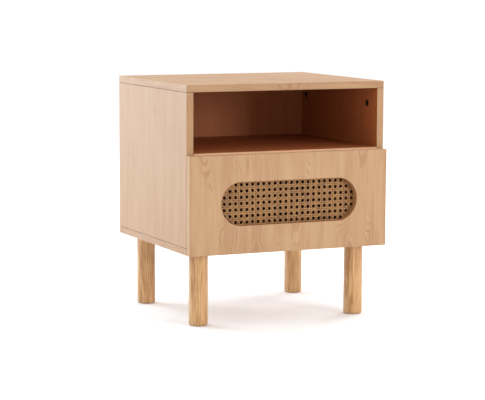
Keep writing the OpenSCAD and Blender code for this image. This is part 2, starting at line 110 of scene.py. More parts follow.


# Faces inside the cabinet are darkened to a deeper brown: painted shade. Edge band is a little deeper than the faces.
# The shelf's lip and the drawer front's top and ends are lighter: painted light. The edges along a tight joint are
# darkened for glue and painted shadow. The window's wall is lacquered board core, and the drawer's inner faces take
# its colour as painted shade.
# Painted shade: darkens and browns the faces inside the cabinet.
INNER_SHADE = (0.9, 0.45, 0.26)
BAND = (0.88, 0.85, 0.82)
# Painted light: lightens the shelf's lip and the drawer front's top face.
PAINTED_LIP_LIGHT = (1.6, 1.6, 1.75)
# Painted highlight: lightens the drawer front's end faces.
END_HIGHLIGHT = (1.12, 1.22, 1.1)
# Glue and painted shadow: darkens the rounded edges along tight joints.
JOINT_GLUE_AND_SHADE = (0.6, 0.52, 0.46)
# Board core colour on the window's wall, and painted shade on the drawer's inner faces.
CORE_AND_DRAWER_SHADE = (0.85, 0.66, 0.52)
FRONT_BAND = Tone(Axis.Y, -1, BAND)

# The sides and the back carry a fainter print than the other boards.
FAINT = 0.4


class Body(str, Enum):
    """The rigid bodies that pieces ride on."""

    CABINET = "cabinet"
    DRAWER = "drawer"


class Slot(str, Enum):
    """The record's material slots."""

    LAMINATE = "laminate_board"
    DRAWER_BOARD = "drawer_board"
    THIN_BOARD = "thin_board"
    LEG = "leg_wood"
    CANE = "cane"
    DOWEL = "dowel_wood"
    ZINC = "zinc_alloy"
    PLATED = "zinc_plated_steel"
    BALLS = "bearing_steel"
    GLIDE = "glide_plastic"
    BUMPER = "clear_plastic"


# ---- Surfaces ----


@dataclass
class Surface:
    """A closed shape in the making, in millimetres.

    Attributes:
        points: one row of X, Y and Z for each point.
        quads: four point numbers for each face.
        ngons: point numbers of the faces that have another number of sides.
        own_uv: for each quad corner its distance along and across the grain, or NaN to have it worked out.
        own_tone: for each quad the factor of its colour, if it isn't 1.
    """

    points: np.ndarray
    quads: np.ndarray
    ngons: list[np.ndarray] = field(default_factory=list)
    own_uv: np.ndarray | None = None
    own_tone: np.ndarray | None = None

    def uv(self) -> np.ndarray:
        """Gives the quads' own grain places, NaN where there are none."""
        if self.own_uv is None:
            return np.full((len(self.quads), 4, 2), np.nan)
        return self.own_uv


def grid_quads(rows: int, columns: int, ring_rows: bool = False, ring_columns: bool = False) -> np.ndarray:
    """Numbers the quads of a grid of points, row after row.

    Args:
        rows: number of rows of points.
        columns: number of points in a row.
        ring_rows: whether the last row is followed by the first.
        ring_columns: whether each row is a ring.

    Returns:
        Four point numbers for each quad.
    """
    r = np.arange(rows if ring_rows else rows - 1)[:, None]
    c = np.arange(columns if ring_columns else columns - 1)[None, :]
    next_r, next_c = (r + 1) % rows, (c + 1) % columns
    corners = (r * columns + c, next_r * columns + c, next_r * columns + next_c, r * columns + next_c)
    return np.stack(np.broadcast_arrays(*corners), -1).reshape(-1, 4)


def joined(parts: Iterable[Surface]) -> Surface:
    """Puts several surfaces into one, with the points that fall together made one point.

    Args:
        parts: the surfaces to join.

    Returns:
        The joined surface.
    """
    parts = list(parts)
    starts = np.cumsum([0] + [len(p.points) for p in parts])
    points = np.concatenate([p.points for p in parts])
    quads = np.concatenate([p.quads + s for p, s in zip(parts, starts)])
    ngons = [n + s for p, s in zip(parts, starts) for n in p.ngons]
    _, first, now = np.unique(np.round(points * 1e4).astype(np.int64), axis=0, return_index=True, return_inverse=True)
    now = now.reshape(-1)
    return Surface(points[first], now[quads], [now[n] for n in ngons], np.concatenate([p.uv() for p in parts]))


def softened(points: np.ndarray, low: np.ndarray, high: np.ndarray, radius: float) -> np.ndarray:
    """Rounds the edges of a block: each point of its faces is drawn to within a radius of a smaller block inside.

    Args:
        points: points on the block's faces.
        low: the block's lowest corner.
        high: the block's highest corner.
        radius: radius of the rounded edges.

    Returns:
        The moved points. A point on a flat stays where it is.
    """
    core = np.clip(points, low + radius, high - radius)
    out = points - core
    length = np.linalg.norm(out, axis=-1, keepdims=True)
    return np.where(length > 1e-9, core + radius * out / np.maximum(length, 1e-9), points)


def edge_steps(radius: float, steps: int) -> np.ndarray:
    """Distances from a block's edge whose rounded places are evenly turned over 45 degrees, largest first."""
    return radius * (1 - np.tan(np.radians(np.linspace(0, 45, steps + 1))))


@dataclass(frozen=True)
class Hole:
    """A round blind hole square to a block's face.

    Attributes:
        first: its centre along the first of the face's two axes, taken in the order X, Y, Z, X.
        second: its centre along the second.
        radius: its radius.
        depth: its depth.
        cell: half the side of the square of the face that it takes up.
    """

    first: float
    second: float
    radius: float
    depth: float
    cell: float = 12.0


def holed_cell(hole: Hole, axes: tuple[int, int, int], level: float, side: int) -> Surface:
    """Makes the square of a face round a hole, with the hole's wall and bottom.

    The square is four faces, each between one of its sides and a quarter of the rim. The wall is the rim carried
    inwards, and the bottom is one flat face.

    Args:
        hole: the hole.
        axes: the face's normal axis and its two own axes.
        level: where the face lies along its normal axis.
        side: 1 if the face looks along its normal axis, else -1.

    Returns:
        The surface.
    """
    per_quarter = 10
    turn = np.radians(-135 + 90 / per_quarter * np.arange(4 * per_quarter))
    rim = np.zeros((len(turn), 3))
    rim[:, axes[0]] = level
    rim[:, axes[1]] = hole.first + hole.radius * np.cos(turn)
    rim[:, axes[2]] = hole.second + hole.radius * np.sin(turn)
    foot = rim.copy()
    foot[:, axes[0]] -= side * hole.depth
    corners = np.zeros((4, 3))
    corners[:, axes[0]] = level
    corners[:, axes[1]] = hole.first + hole.cell * np.array([-1, 1, 1, -1])
    corners[:, axes[2]] = hole.second + hole.cell * np.array([-1, -1, 1, 1])
    n = len(turn)
    ngons = []
    for k in range(4):
        arc = (np.arange(per_quarter, -1, -1) + k * per_quarter) % n
        ngons.append(np.concatenate([[2 * n + k, 2 * n + (k + 1) % 4], arc]))
    ngons.append(n + np.arange(n))
    quads = grid_quads(2, n, ring_columns=True)
    if side < 0:
        ngons, quads = [g[::-1] for g in ngons], quads[:, ::-1]
    return Surface(np.concatenate([rim, foot, corners]), quads, ngons)


def rounded_block(
    low: Iterable[float],
    high: Iterable[float],
    radius: float,
    holes: dict[tuple[Axis, int], list[Hole]] | None = None,
    steps: int = 3,
    cut: float | None = None,
) -> Surface:
    """Makes a board: a block with every edge and corner rounded, and blind holes in its faces.

    Each of the six faces is a grid whose lines crowd at the rounded edges, and `softened` gives it its shape. The
    faces share their lines, also those beside the holes, so that they meet point to point.

    Args:
        low: the board's lowest corner.
        high: the board's highest corner.
        radius: radius of the rounded edges.
        holes: the holes of each face, which is named by its axis and side. They stand in rows and columns, and no
            line beside a hole crosses the square of another.
        steps: strips in half a rounded edge.
        cut: a Y at which the faces are parted, so that their tone can change there.

    Returns:
        The board's surface.
    """
    low, high = np.asarray(low, float), np.asarray(high, float)
    holes = holes or {}
    inset = edge_steps(radius, steps)
    stations = [[*(low[axis] + inset), *(high[axis] - inset)] for axis in Axis]
    if cut is not None:
        stations[Axis.Y].append(cut)
    for (axis, _), drilled in holes.items():
        for h in drilled:
            stations[(axis + 1) % 3] += [h.first - h.cell, h.first + h.cell]
            stations[(axis + 2) % 3] += [h.second - h.cell, h.second + h.cell]
    lines = [np.unique(np.round(places, 6)) for places in stations]
    faces = []
    for axis in Axis:
        a, b = (axis + 1) % 3, (axis + 2) % 3
        for side in (-1, 1):
            drilled = holes.get((axis, side), [])
            first, second = np.meshgrid(lines[a], lines[b], indexing="ij")
            level = high[axis] if side > 0 else low[axis]
            points = np.full(first.shape + (3,), level)
            points[..., a], points[..., b] = first, second
            quads = grid_quads(*first.shape)
            middle = points.reshape(-1, 3)[quads].mean(1)
            keep = np.ones(len(quads), bool)
            for h in drilled:
                keep &= ~((abs(middle[:, a] - h.first) < h.cell) & (abs(middle[:, b] - h.second) < h.cell))
            quads = quads[keep] if side > 0 else quads[keep][:, ::-1]
            flat = softened(points.reshape(-1, 3), low, high, radius)
            faces.append(Surface(flat, quads))
            faces.extend(holed_cell(h, (axis, a, b), level, side) for h in drilled)
    return joined(faces)


def turned(profile: np.ndarray, centre: tuple[float, float], sides: int) -> Surface:
    """Turns a profile round an upright axis, as on a lathe, with a flat face at each end.

    Args:
        profile: rows of radius and height, from the bottom to the top.
        centre: the axis's X and Y.
        sides: points in each ring.

    Returns:
        The turned surface.
    """
    turn = np.linspace(0, 2 * math.pi, sides, endpoint=False)
    ring = np.stack([np.cos(turn), np.sin(turn)], -1)
    points = np.empty((len(profile), sides, 3))
    points[..., :2] = profile[:, None, :1] * ring[None] + np.asarray(centre)
    points[..., 2] = profile[:, None, 1]
    last = len(profile) * sides
    caps = [np.arange(sides)[::-1], np.arange(last - sides, last)]
    return Surface(points.reshape(-1, 3), grid_quads(len(profile), sides, ring_columns=True)[:, ::-1], caps)


def arc_profile(centre: tuple[float, float], radius: float, start: float, end: float, steps: int) -> np.ndarray:
    """Points of a circle's arc from one angle to another, in degrees."""
    turn = np.radians(np.linspace(start, end, steps + 1))
    return np.stack([centre[0] + radius * np.cos(turn), centre[1] + radius * np.sin(turn)], -1)


def lay_grain(mesh: bpy.types.Mesh, along: Axis, across: Axis, own: np.ndarray) -> None:
    """Gives each face's corners their distance along and across the grain, as a UV map in metres.

    A face takes its coordinates straight from the two axes that it lies in. The grain runs along the board's main
    axis, or along its second one on the edges that the main axis crosses, as an edge band's does.

    Args:
        mesh: the mesh, in metres.
        along: the board's grain axis.
        across: the axis that the grain takes on the board's end edges.
        own: corner places in millimetres for the mesh's first faces, NaN where they are to be worked out.
    """
    corners, faces = len(mesh.loops), len(mesh.polygons)
    co = np.empty(len(mesh.vertices) * 3)
    mesh.vertices.foreach_get("co", co)
    index = np.empty(corners, np.int64)
    mesh.loops.foreach_get("vertex_index", index)
    normal = np.empty(faces * 3)
    mesh.polygons.foreach_get("normal", normal)
    total = np.empty(faces, np.int64)
    mesh.polygons.foreach_get("loop_total", total)
    normal = normal.reshape(-1, 3)
    facing = np.abs(normal).argmax(1)
    main = np.where(facing == along, int(across), int(along))
    side = np.take_along_axis(normal, facing[:, None], 1)[:, 0] > 0
    # Each of the board's six faces starts at another place of the print.
    shift = 0.37 * facing + 0.19 * side
    facing, main, shift = (np.repeat(v, total) for v in (facing, main, shift))
    place = co.reshape(-1, 3)[index]
    rows = np.arange(corners)
    uv = np.stack([place[rows, main], place[rows, 3 - facing - main]], -1) + shift[:, None]
    own = own.reshape(-1, 2) * MM
    given = np.isfinite(own).all(1)
    uv[: len(own)][given] = own[given]
    mesh.uv_layers.new(name=GRAIN_MAP).data.foreach_set("uv", uv.reshape(-1))


def volume(surface: Surface) -> float:
    """Signed volume of the quads and flat faces, each cut into triangles: it is negative if they face inwards."""
    p = surface.points
    fans = [surface.quads[:, [0, 1, 2]], surface.quads[:, [0, 2, 3]]]
    for n in surface.ngons:
        fans.append(np.stack([np.full(len(n) - 2, n[0]), n[1:-1], n[2:]], -1))
    t = np.concatenate(fans)
    return float(np.einsum("ij,ij->i", p[t[:, 0]], np.cross(p[t[:, 1]], p[t[:, 2]])).sum() / 6)


@dataclass(frozen=True)
class Dressing:
    """What a new piece is made of and how it is used.

    Attributes:
        slot: the record's slot.
        body: the body it moves with.
        replaces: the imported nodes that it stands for.
        along: the grain's axis.
        across: the grain's axis on end edges.
        crease: the angle in degrees from which an edge stays sharp.
        tones: how the colour of some faces differs.
        figure: how strongly the printed grain shows, where 1 is its full strength.
    """

    slot: Slot
    body: Body
    replaces: tuple[str, ...]
    along: Axis = Axis.Z
    across: Axis = Axis.X
    crease: float = 40.0
    tones: tuple[Tone, ...] = ()
    figure: float = 1.0


def lay_tones(mesh: bpy.types.Mesh, own: np.ndarray | None, tones: tuple[Tone, ...]) -> None:
    """Gives each face the factor of its tone, or 1 if it has none.

    Args:
        mesh: the mesh, in metres.
        own: the factors of its first faces, if they have their own.
        tones: the tones. Where two of them meet, the later one holds.
    """
    normal, middle = (np.empty(len(mesh.polygons) * 3) for _ in range(2))
    mesh.polygons.foreach_get("normal", normal)
    mesh.polygons.foreach_get("center", middle)
    normal, middle = normal.reshape(-1, 3), middle.reshape(-1, 3)
    facing, exactly, end_depth = 0.999, 0.9999, 1.0 * MM
    eased = np.abs(normal).max(1) < exactly
    factor = np.ones((len(normal), 3), np.float32)
    if own is not None:
        factor[: len(own)] = own
    for tone in tones:
        reach = tone.side * middle[:, tone.axis]
        at_end = reach > reach.max() - end_depth
        kind = eased if tone.eased else normal[:, tone.axis] * tone.side > facing
        factor[at_end & kind & (middle[:, Axis.Y] < tone.in_front_of * MM)] = tone.factor
    mesh.attributes.new(TONE, "FLOAT_VECTOR", "FACE").data.foreach_set("vector", factor.reshape(-1))


class Workshop:
    """Turns surfaces into finished pieces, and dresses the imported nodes."""

    def __init__(self, nodes: dict[str, bpy.types.Object], materials: dict[Slot, bpy.types.Material]) -> None:
        """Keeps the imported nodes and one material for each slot."""
        self.nodes = nodes
        self.materials = materials

    def piece(
        self, name: str, surface: Surface, dressing: Dressing, tint: np.ndarray | None = None
    ) -> bpy.types.Object:
        """Makes a piece from a surface.

        Args:
            name: the piece's name.
            surface: its shape in millimetres.
            dressing: its finish and body.
            tint: a number from 0 to 1 for each point, which the finish may read.

        Returns:
            The new object.
        """
        outward = volume(surface) > 0
        quads = surface.quads if outward else surface.quads[:, ::-1]
        own = surface.uv() if outward else surface.uv()[:, ::-1]
        ngons = surface.ngons if outward else [n[::-1] for n in surface.ngons]
        mesh = bpy.data.meshes.new(name)
        mesh.from_pydata((surface.points * MM).tolist(), [], quads.tolist() + [n.tolist() for n in ngons])
        mesh.update()
        lay_grain(mesh, dressing.along, dressing.across, own)
        lay_tones(mesh, surface.own_tone, dressing.tones)
        strength = np.full(len(mesh.polygons), dressing.figure, np.float32)
        mesh.attributes.new(FIGURE, "FLOAT", "FACE").data.foreach_set("value", strength)
        if tint is not None:
            mesh.attributes.new(TINT, "FLOAT", "POINT").data.foreach_set("value", tint.astype(np.float32))
        mesh.shade_smooth()
        mesh.set_sharp_from_angle(angle=math.radians(dressing.crease))
        mesh.materials.append(self.materials[dressing.slot])
        made = bpy.data.objects.new(name, mesh)
        bpy.context.scene.collection.objects.link(made)
        flat = made.modifiers.new("flat faces stay flat", "WEIGHTED_NORMAL")
        flat.mode, flat.weight, flat.keep_sharp = "FACE_AREA", 50, True
        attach(made, dressing.body.value)
        if dressing.replaces:
            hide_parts(*dressing.replaces)
        log.info("%s: %d faces on %s", name, len(mesh.polygons), dressing.body.value)
        return made

    def dress_nodes(self, record: dict[str, Any]) -> None:
        """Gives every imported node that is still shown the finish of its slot.

        Args:
            record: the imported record.
        """
        slots = {part["node"]: part["material_slot"] for part in record["subparts"]}
        for name, node in self.nodes.items():
            if node.hide_render:
                continue
            node.data.materials.clear()
            node.data.materials.append(self.materials[Slot(slots[name])])
            log.info("%s: dressed as %s", name, slots[name])


# ---- Finishes ----


def linear(code: str) -> tuple[float, float, float, float]:
    """Turns an sRGB hex colour such as "C89F72" to linear light, with full alpha."""
    srgb = np.array([int(code[i : i + 2], 16) for i in (0, 2, 4)]) / 255
    light = np.where(srgb <= 0.04045, srgb / 12.92, ((srgb + 0.055) / 1.055) ** 2.4)
    return (*(float(v) for v in light), 1.0)


def add_node(
    tree: bpy.types.NodeTree, kind: str, inputs: dict[str | int, Any] | None = None, **settings: Any
) -> bpy.types.Node:
    """Adds a shader node with its settings and its inputs.

    Args:
        tree: the material's node tree.
        kind: the node's type without "ShaderNode".
        inputs: a value, or a socket to link from, for each input by name or number.
        settings: the node's own properties.

    Returns:
        The new node.
    """
    node = tree.nodes.new("ShaderNode" + kind)
    for key, value in settings.items():
        setattr(node, key, value)
    for key, value in (inputs or {}).items():
        if isinstance(value, bpy.types.NodeSocket):
            tree.links.new(value, node.inputs[key])
        else:
            node.inputs[key].default_value = value
    return node


def per_mm(length: float) -> float:
    """Texture scale, in features to the metre, for features of that size in millimetres."""
    return 1 / (length * MM)


def grain(length: float, width: float) -> tuple[float, float, float]:
    """Texture scale on the grain map for features of that length and width in millimetres."""
    return per_mm(length), per_mm(width), 1.0


@dataclass(frozen=True)
class Finish:
    """A finish with one colour, which the named finishes below build on.

    Attributes:
        name: the material's name.
        colour: its sRGB hex colour.
        roughness: how dull it is.
    """

    name: str
    colour: str
    roughness: float

    def start(self) -> tuple[bpy.types.Material, bpy.types.NodeTree, bpy.types.Node]:
        """Makes the material with its shader alone.

        Returns:
            The material, its node tree and its Principled shader.
        """
        material = bpy.data.materials.new(self.name)
        material.use_nodes = True
        tree = material.node_tree
        tree.nodes.clear()
        shader = add_node(tree, "BsdfPrincipled", {"Base Color": linear(self.colour), "Roughness": self.roughness})
        output = add_node(tree, "OutputMaterial", {"Surface": shader.outputs["BSDF"]})
        output.is_active_output = True
        return material, tree, shader

    def between(self, tree: bpy.types.NodeTree, share: bpy.types.NodeSocket, other: str) -> bpy.types.NodeSocket:
        """Blends the finish's own colour with another.

        Args:
            tree: the material's node tree.
            share: the other colour's share.
            other: its sRGB hex colour.

        Returns:
            The blended colour's socket.
        """
        # A colour mix has its share at socket 0 and its colours at 6 and 7, and gives its result at 2.
        mix = add_node(tree, "Mix", {0: share, 6: linear(self.colour), 7: linear(other)}, data_type="RGBA")
        return mix.outputs[2]

    def build(self) -> bpy.types.Material:
        """Makes the material."""
        return self.start()[0]


def streaks(
    tree: bpy.types.NodeTree, place: bpy.types.NodeSocket, scale: tuple[float, float, float], detail: float = 3.0
) -> bpy.types.NodeSocket:
    """Adds noise that is drawn out along one axis, and gives its value.

    Args:
        tree: the material's node tree.
        place: the coordinates in metres.
        scale: features to the metre along each axis.
        detail: octaves of finer noise.

    Returns:
        The noise's value socket.
    """
    mapping = add_node(tree, "Mapping", {"Vector": place, "Scale": scale})
    noise = add_node(tree, "TexNoise", {"Vector": mapping.outputs[0], "Scale": 1.0, "Detail": detail, "Roughness": 0.6})
    return noise.outputs[0]


def ramp(
    tree: bpy.types.NodeTree, value: bpy.types.NodeSocket, low: float, high: float, to_low: float, to_high: float
) -> bpy.types.NodeSocket:
    """Adds a clamped, smooth change of range, and gives its result."""
    inputs = {"Value": value, "From Min": low, "From Max": high, "To Min": to_low, "To Max": to_high}
    return add_node(tree, "MapRange", inputs, interpolation_type="SMOOTHSTEP").outputs[0]


@dataclass(frozen=True)
class GrainedLaminate(Finish):
    """Melamine-faced board with printed pale oak grain, and ABS edge band with the same print.

    The print shows fine streaks along the grain, broad soft bands, a few arched growth lines and short dark pores. The
    melamine is matt and even, with hardly any relief.

    Attributes:
        dark: sRGB hex colour of the growth lines.
        middle: the print's mean share of the dark colour.
        specular: how strongly the surface shines, where 0.5 is plain plastic.
    """

    dark: str = "B98A5C"
    middle: float = 0.46
    specular: float = 0.5

    def build(self) -> bpy.types.Material:
        """Makes the material. The pattern follows the piece's own grain map."""
        material, tree, shader = self.start()
        place = add_node(tree, "UVMap", uv_map=GRAIN_MAP).outputs[0]
        fine = streaks(tree, place, grain(90, 1.6), 3.0)
        bands = streaks(tree, place, grain(420, 26), 2.0)
        drift = streaks(tree, place, grain(150, 60), 1.0)
        pores = streaks(tree, place, grain(9, 0.9), 1.0)
        # Arched growth lines: evenly spaced lines across the grain, bent by slow noise, shown only in patches.
        line_gap, bending = 5.5, 0.11
        apart = add_node(tree, "SeparateXYZ", {"Vector": place})
        bend = add_node(tree, "Math", {0: drift, 1: bending, 2: apart.outputs["Y"]}, operation="MULTIPLY_ADD")
        turns = add_node(tree, "Math", {0: bend.outputs[0], 1: 2 * math.pi * per_mm(line_gap)}, operation="MULTIPLY")
        wave = add_node(tree, "Math", {0: turns.outputs[0]}, operation="SINE")
        patch = ramp(tree, streaks(tree, place, grain(150, 70), 1.0), 0.47, 0.64, 0.0, 1.0)
        lines = ramp(tree, wave.outputs[0], 0.0, 1.0, 0.0, 0.7)
        figure = add_node(tree, "Math", {0: lines, 1: patch}, operation="MULTIPLY")
        parts = (ramp(tree, fine, 0.35, 0.7, 0.0, 0.5), ramp(tree, bands, 0.3, 0.7, 0.0, 0.55))
        both = add_node(tree, "Math", {0: parts[0], 1: parts[1]}, operation="ADD")
        dark = add_node(tree, "Math", {0: both.outputs[0], 1: figure.outputs[0]}, operation="ADD")
        spots = ramp(tree, pores, 0.6, 0.74, 0.0, 0.35)
        whole = add_node(tree, "Math", {0: dark.outputs[0], 1: spots}, operation="ADD")
        # The print swings about its middle, so a fainter print keeps the board's mean colour.
        strength = add_node(tree, "Attribute", attribute_name=FIGURE).outputs["Fac"]
        swing = add_node(tree, "Math", {0: whole.outputs[0], 1: self.middle}, operation="SUBTRACT").outputs[0]
        swung = {0: swing, 1: strength, 2: self.middle}
        share = add_node(tree, "Math", swung, operation="MULTIPLY_ADD", use_clamp=True)
        mix = self.between(tree, share.outputs[0], self.dark)
        # The face tone multiplies the print: real edge band and board core, painted shade inside and painted light on
        # some edges.
        tone = add_node(tree, "Attribute", attribute_name=TONE).outputs["Vector"]
        shaded = add_node(tree, "Mix", {0: 1.0, 6: mix, 7: tone}, data_type="RGBA", blend_type="MULTIPLY")
        tree.links.new(shaded.outputs[2], shader.inputs["Base Color"])
        shader.inputs["Specular IOR Level"].default_value = self.specular
        dull = ramp(tree, fine, 0.3, 0.7, self.roughness - 0.04, self.roughness + 0.06)
        tree.links.new(dull, shader.inputs["Roughness"])
        relief = add_node(tree, "Bump", {"Height": spots, "Strength": 0.15, "Distance": 0.05 * MM}, invert=True)
        tree.links.new(relief.outputs[0], shader.inputs["Normal"])
        return material


@dataclass(frozen=True)
class TurnedWood(Finish):
    """Solid pale hardwood under clear satin lacquer.

    Growth rings stand round a pith beside each leg, so they show as long streaks and narrow arches down the turned
    side, with fine fibre between them.

    Attributes:
        dark: sRGB hex colour of the late wood.
    """

    dark: str = "B07F4D"

    def build(self) -> bpy.types.Material:
        """Makes the material. The pattern is solid, on Object coordinates."""
        material, tree, shader = self.start()
        place = add_node(tree, "TexCoord").outputs["Object"]
        ring_gap, bending = 4.2, 0.02
        slow = streaks(tree, place, (per_mm(30), per_mm(30), per_mm(160)), 1.0)
        fibre = streaks(tree, place, (per_mm(0.9), per_mm(0.9), per_mm(45)), 2.0)
        broad = streaks(tree, place, (per_mm(9), per_mm(9), per_mm(60)), 2.0)
        apart = add_node(tree, "SeparateXYZ", {"Vector": place})
        sideways = {0: apart.outputs["Y"], 1: 0.45, 2: apart.outputs["X"]}
        slant = add_node(tree, "Math", sideways, operation="MULTIPLY_ADD")
        bend = add_node(tree, "Math", {0: slow, 1: bending, 2: slant.outputs[0]}, operation="MULTIPLY_ADD")
        turns = add_node(tree, "Math", {0: bend.outputs[0], 1: 2 * math.pi * per_mm(ring_gap)}, operation="MULTIPLY")
        rings = add_node(tree, "Math", {0: turns.outputs[0]}, operation="SINE")
        tone = add_node(tree, "Math", {0: ramp(tree, rings.outputs[0], -0.4, 1.0, 0.0, 0.4),
                                       1: ramp(tree, broad, 0.3, 0.7, 0.0, 0.5)}, operation="ADD")
        whole = add_node(tree, "Math", {0: tone.outputs[0], 1: ramp(tree, fibre, 0.4, 0.7, 0.0, 0.3)},
                         operation="ADD", use_clamp=True)
        tree.links.new(self.between(tree, whole.outputs[0], self.dark), shader.inputs["Base Color"])
        relief = add_node(tree, "Bump", {"Height": fibre, "Strength": 0.12, "Distance": 0.08 * MM})
        tree.links.new(relief.outputs[0], shader.inputs["Normal"])
        shader.inputs["Coat Weight"].default_value = 0.1
        shader.inputs["Coat Roughness"].default_value = 0.3
        return material


@dataclass(frozen=True)
class SplitCane(Finish):
    """Natural rattan peel, woven dry: smooth on its skin side, with each strand its own shade of straw.

    Attributes:
        dark: sRGB hex colour of the darkest strands.
    """

    dark: str = "8C6238"

    def build(self) -> bpy.types.Material:
        """Makes the material. Each strand's tint picks its shade, and fibre runs along it."""
        material, tree, shader = self.start()
        tint = add_node(tree, "Attribute", attribute_name=TINT).outputs["Fac"]
        place = add_node(tree, "UVMap", uv_map=GRAIN_MAP).outputs[0]
        fibre = streaks(tree, place, grain(14, 0.5), 2.0)
        blotch = streaks(tree, place, grain(22, 5), 1.0)
        streak = add_node(tree, "Math", {0: ramp(tree, fibre, 0.35, 0.7, 0.0, 0.35),
                                         1: ramp(tree, blotch, 0.4, 0.7, 0.0, 0.3)}, operation="ADD")
        own = {0: tint, 1: 0.45, 2: streak.outputs[0]}
        shade = add_node(tree, "Math", own, operation="MULTIPLY_ADD", use_clamp=True)
        tree.links.new(self.between(tree, shade.outputs[0], self.dark), shader.inputs["Base Color"])
        relief = add_node(tree, "Bump", {"Height": fibre, "Strength": 0.2, "Distance": 0.05 * MM})
        tree.links.new(relief.outputs[0], shader.inputs["Normal"])
        return material


@dataclass(frozen=True)
class WornMetal(Finish):
    """A metal part with a fine, slightly uneven surface, such as zinc casting or plated sheet.

    Attributes:
        metallic: 1 for bare metal.
        grit: size in millimetres of the surface's unevenness.
        spread: how far the roughness varies.
        relief: how strongly the unevenness shows.
    """

    metallic: float = 1.0
    grit: float = 0.8
    spread: float = 0.04
    relief: float = 0.04

    def build(self) -> bpy.types.Material:
        """Makes the material, on Object coordinates."""
        material, tree, shader = self.start()
        place = add_node(tree, "TexCoord").outputs["Object"]
        cloud = streaks(tree, place, (per_mm(self.grit * 20),) * 3, 1.0)
        fine = streaks(tree, place, (per_mm(self.grit),) * 3, 2.0)
        low, high = self.roughness - self.spread, self.roughness + self.spread
        tree.links.new(ramp(tree, cloud, 0.3, 0.7, low, high), shader.inputs["Roughness"])
        relief = add_node(tree, "Bump", {"Height": fine, "Strength": self.relief, "Distance": 0.02 * MM})
        tree.links.new(relief.outputs[0], shader.inputs["Normal"])
        shader.inputs["Metallic"].default_value = self.metallic
        return material


@dataclass(frozen=True)
class RawBeech(Finish):
    """Unfinished beech with its short brown flecks, as dowels are sold.

    Attributes:
        fleck: sRGB hex colour of the flecks.
    """

    fleck: str = "A9764A"

    def build(self) -> bpy.types.Material:
        """Makes the material, on Object coordinates."""
        material, tree, shader = self.start()
        place = add_node(tree, "TexCoord").outputs["Object"]
        flecks = ramp(tree, streaks(tree, place, (per_mm(1.2), per_mm(1.2), per_mm(4)), 1.0), 0.55, 0.7, 0.0, 0.6)
        tree.links.new(self.between(tree, flecks, self.fleck), shader.inputs["Base Color"])
        return material


@dataclass(frozen=True)
class MouldedPlastic(Finish):
    """Injection-moulded or die-cut plastic with a faint, even texture.

    Attributes:
        clear: how far light goes through it.
    """

    clear: float = 0.0

    def build(self) -> bpy.types.Material:
        """Makes the material, on Object coordinates."""
        material, tree, shader = self.start()
        place = add_node(tree, "TexCoord").outputs["Object"]
        texture = streaks(tree, place, (per_mm(0.6),) * 3, 1.0)
        tree.links.new(
            ramp(tree, texture, 0.3, 0.7, self.roughness - 0.05, self.roughness + 0.05), shader.inputs["Roughness"]
        )
        relief = add_node(tree, "Bump", {"Height": texture, "Strength": 0.1, "Distance": 0.02 * MM})
        tree.links.new(relief.outputs[0], shader.inputs["Normal"])
        shader.inputs["Transmission Weight"].default_value = self.clear
        return material


FINISHES: dict[Slot, Finish] = {
    Slot.LAMINATE: GrainedLaminate("pale oak melamine", "B2926E", 0.56, dark="9F7757", specular=0.25),
    Slot.DRAWER_BOARD: GrainedLaminate("drawer board melamine", "B2926E", 0.56, dark="9F7757", specular=0.25),
    Slot.THIN_BOARD: GrainedLaminate("printed hardboard", "B2926E", 0.6, dark="9F7757", specular=0.25),
    Slot.LEG: TurnedWood("lacquered turned hardwood", "C9A06F", 0.42, dark="9A6831"),
    Slot.CANE: SplitCane("natural cane peel", "A97A40", 0.5, dark="4F2207"),
    Slot.DOWEL: RawBeech("raw beech", "D9B183", 0.7),
    Slot.ZINC: WornMetal("dark die-cast zinc", "4A423B", 0.45, grit=0.5, spread=0.1, relief=0.2),
    Slot.PLATED: WornMetal("zinc-plated steel", "B9BCC0", 0.34),
    Slot.BALLS: WornMetal("polished ball steel", "D2D4D8", 0.14, spread=0.02, relief=0.0),
    Slot.GLIDE: MouldedPlastic("white nylon", "E9E7E1", 0.45),
    Slot.BUMPER: MouldedPlastic("clear vinyl", "F2F4F5", 0.15, clear=0.85),
}


# ---- Sub-assemblies ----


def box_mm(node: str) -> tuple[np.ndarray, np.ndarray]:
    """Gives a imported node's lowest and highest corner in millimetres."""
    low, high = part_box(node)
    return np.round(np.array(low) / MM, 3), np.round(np.array(high) / MM, 3)


